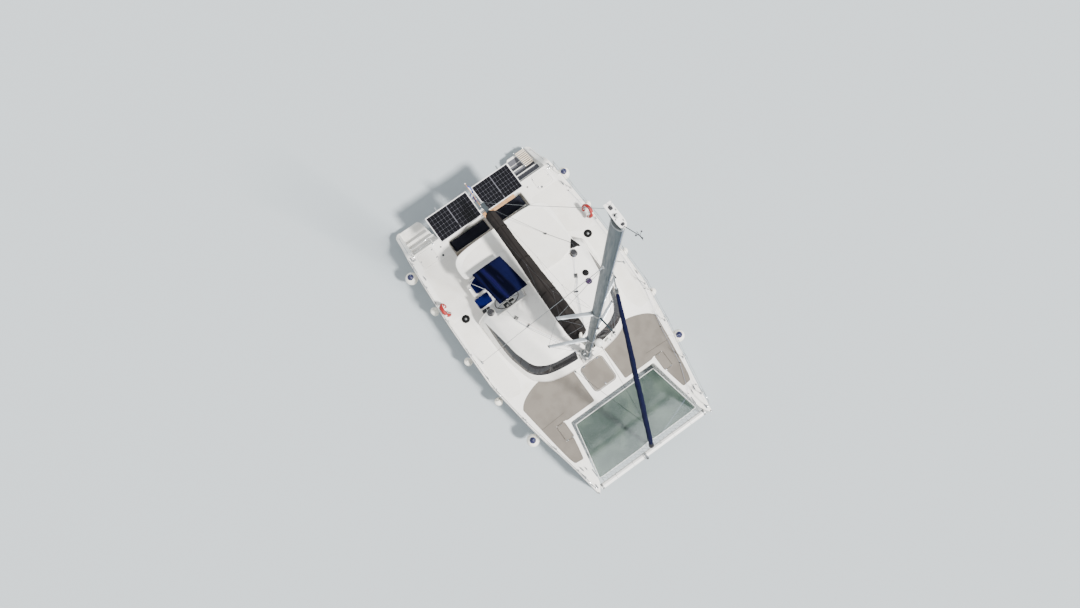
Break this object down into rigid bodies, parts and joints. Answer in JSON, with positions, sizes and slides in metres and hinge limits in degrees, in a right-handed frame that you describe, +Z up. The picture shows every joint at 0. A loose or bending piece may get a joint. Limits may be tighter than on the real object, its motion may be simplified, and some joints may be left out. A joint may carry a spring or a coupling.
{
  "type": "cruising sailing catamaran",
  "caption": "Cruising sailing catamaran with two hulls, bridge deck saloon, net between the bows, stowed sails, raised helm and solar arch",
  "frame": {"origin": "on the waterline, on the centreline, at mid-length between bows and transoms", "axes": "+X forward to the bows, +Y to port, +Z up"},
  "size_m": [11.9464, 7.2954, 19.86],
  "materials": {
    "gelcoat": "off-white glass-fibre gelcoat, glossy with light chalking",
    "bottom_paint": "white topsides with a pale bottom paint below the waterline",
    "nonskid": "warm grey moulded non-skid",
    "anodised_alloy": "clear anodised, satin",
    "white_alloy": "white painted alloy tube",
    "stainless": "polished stainless steel",
    "tinted_glass": "dark tinted acrylic",
    "grey_canvas": "charcoal acrylic canvas",
    "navy_canvas": "navy acrylic canvas",
    "blue_cushion": "royal-blue coated cloth",
    "netting": "open grey-green trampoline mesh",
    "teak": "oiled teak slats on stainless rails",
    "solar_cell": "black cells under glass with silver grid lines",
    "fender_vinyl": "cream-white vinyl with navy ends",
    "red_cloth": "red vinyl-coated cloth over foam",
    "black_grip": "black stitched wheel cover on steel spokes",
    "cast_metal": "grey painted castings",
    "bronze": "worn bronze"
  },
  "bodies": {
    "hull": {"port_hull": "bottom_paint", "starboard_hull": "bottom_paint", "port_saildrive": "cast_metal", "starboard_saildrive": "cast_metal", "port_engine": "cast_metal", "starboard_engine": "cast_metal", "bridge_deck": "gelcoat", "deck_moulding": "gelcoat", "port_window": "tinted_glass", "starboard_window": "tinted_glass", "coachroof": "gelcoat", "saloon_bulkhead": "gelcoat", "hardtop": "gelcoat", "helm_console": "gelcoat", "helm_seat": "blue_cushion", "helm_bimini": "navy_canvas", "bimini_frame": "stainless", "front_crossbeam": "white_alloy", "trampoline": "netting", "mast": "anodised_alloy", "lower_spreaders": "anodised_alloy", "upper_spreaders": "anodised_alloy", "port_shroud": "stainless", "starboard_shroud": "stainless", "furler_drum": "stainless", "furled_genoa": "navy_canvas", "stern_arch": "stainless", "port_solar_panel": "solar_cell", "starboard_solar_panel": "solar_cell", "port_rail": "stainless", "starboard_rail": "stainless", "port_lifebuoy": "red_cloth", "starboard_lifebuoy": "red_cloth", "port_keel": "bottom_paint", "starboard_keel": "bottom_paint", "cockpit_table": "teak", "port_fender_1": "fender_vinyl", "port_fender_2": "fender_vinyl", "port_fender_3": "fender_vinyl", "port_fender_4": "fender_vinyl", "port_fender_5": "fender_vinyl", "starboard_fender_1": "fender_vinyl", "starboard_fender_2": "fender_vinyl", "starboard_fender_3": "fender_vinyl", "starboard_fender_4": "fender_vinyl", "starboard_fender_5": "fender_vinyl"},
    "boom": {"boom": "anodised_alloy", "sail_bag": "grey_canvas"},
    "sliding_door": {"sliding_door": "tinted_glass"},
    "steering_wheel": {"steering_wheel": "black_grip"},
    "foredeck_locker_lid": {"foredeck_locker_lid": "nonskid"},
    "boarding_ladder": {"boarding_ladder": "teak"},
    "port_rudder": {"port_rudder": "bottom_paint"},
    "port_propeller": {"port_propeller": "bronze"},
    "port_engine_hatch": {"port_engine_hatch": "nonskid"},
    "port_bow_hatch": {"port_bow_hatch": "nonskid"},
    "starboard_rudder": {"starboard_rudder": "bottom_paint"},
    "starboard_propeller": {"starboard_propeller": "bronze"},
    "starboard_engine_hatch": {"starboard_engine_hatch": "nonskid"},
    "starboard_bow_hatch": {"starboard_bow_hatch": "nonskid"}
  },
  "joints": [
    {"name": "boom_swing", "type": "hinge", "parent": "hull", "child": "boom", "pos_m": [1.7, 0, 3.88], "axis": [0, 0, 1], "range_deg": [-50, 50]},
    {"name": "wheel_turn", "type": "hinge", "parent": "hull", "child": "steering_wheel", "pos_m": [-1.2, -1.12, 2.4], "axis": [-0.7071, 0, 0.7071], "range_deg": [-540, 540]},
    {"name": "port_rudder_turn", "type": "hinge", "parent": "hull", "child": "port_rudder", "pos_m": [-5.15, 2.5, -0.335], "axis": [0, 0, -1], "range_deg": [-35, 35]},
    {"name": "starboard_rudder_turn", "type": "hinge", "parent": "hull", "child": "starboard_rudder", "pos_m": [-5.15, -2.5, -0.335], "axis": [0, 0, -1], "range_deg": [-35, 35]},
    {"name": "port_propeller_spin", "type": "hinge", "parent": "hull", "child": "port_propeller", "pos_m": [-4.4, 2.5, -0.93], "axis": [1, 0, 0], "continuous": true},
    {"name": "starboard_propeller_spin", "type": "hinge", "parent": "hull", "child": "starboard_propeller", "pos_m": [-4.4, -2.5, -0.93], "axis": [1, 0, 0], "continuous": true},
    {"name": "door_slide", "type": "slide", "parent": "hull", "child": "sliding_door", "axis": [0, 1, 0], "range_m": [0, 0.86]},
    {"name": "port_engine_hatch_lift", "type": "hinge", "parent": "hull", "child": "port_engine_hatch", "pos_m": [-4.22, 2.185, 1.656], "axis": [1, 0, 0], "range_deg": [0, 85]},
    {"name": "starboard_engine_hatch_lift", "type": "hinge", "parent": "hull", "child": "starboard_engine_hatch", "pos_m": [-4.22, -2.185, 1.656], "axis": [-1, 0, 0], "range_deg": [0, 85]},
    {"name": "port_bow_hatch_lift", "type": "hinge", "parent": "hull", "child": "port_bow_hatch", "pos_m": [3.905, 2.09, 1.656], "axis": [0, 1, 0], "range_deg": [0, 85]},
    {"name": "starboard_bow_hatch_lift", "type": "hinge", "parent": "hull", "child": "starboard_bow_hatch", "pos_m": [3.905, -2.09, 1.656], "axis": [0, 1, 0], "range_deg": [0, 85]},
    {"name": "foredeck_locker_lift", "type": "hinge", "parent": "hull", "child": "foredeck_locker_lid", "pos_m": [2.165, 0, 1.68], "axis": [0, -1, 0], "range_deg": [0, 80]},
    {"name": "ladder_swing", "type": "hinge", "parent": "hull", "child": "boarding_ladder", "pos_m": [-5.99, 2.615, 0.56], "axis": [0, -1, 0], "range_deg": [0, 236]}
  ],
  "couplings": [
    {"joint": "port_rudder_turn", "follows": "wheel_turn", "ratio": 0.0648},
    {"joint": "starboard_rudder_turn", "follows": "wheel_turn", "ratio": 0.0648}
  ]
}
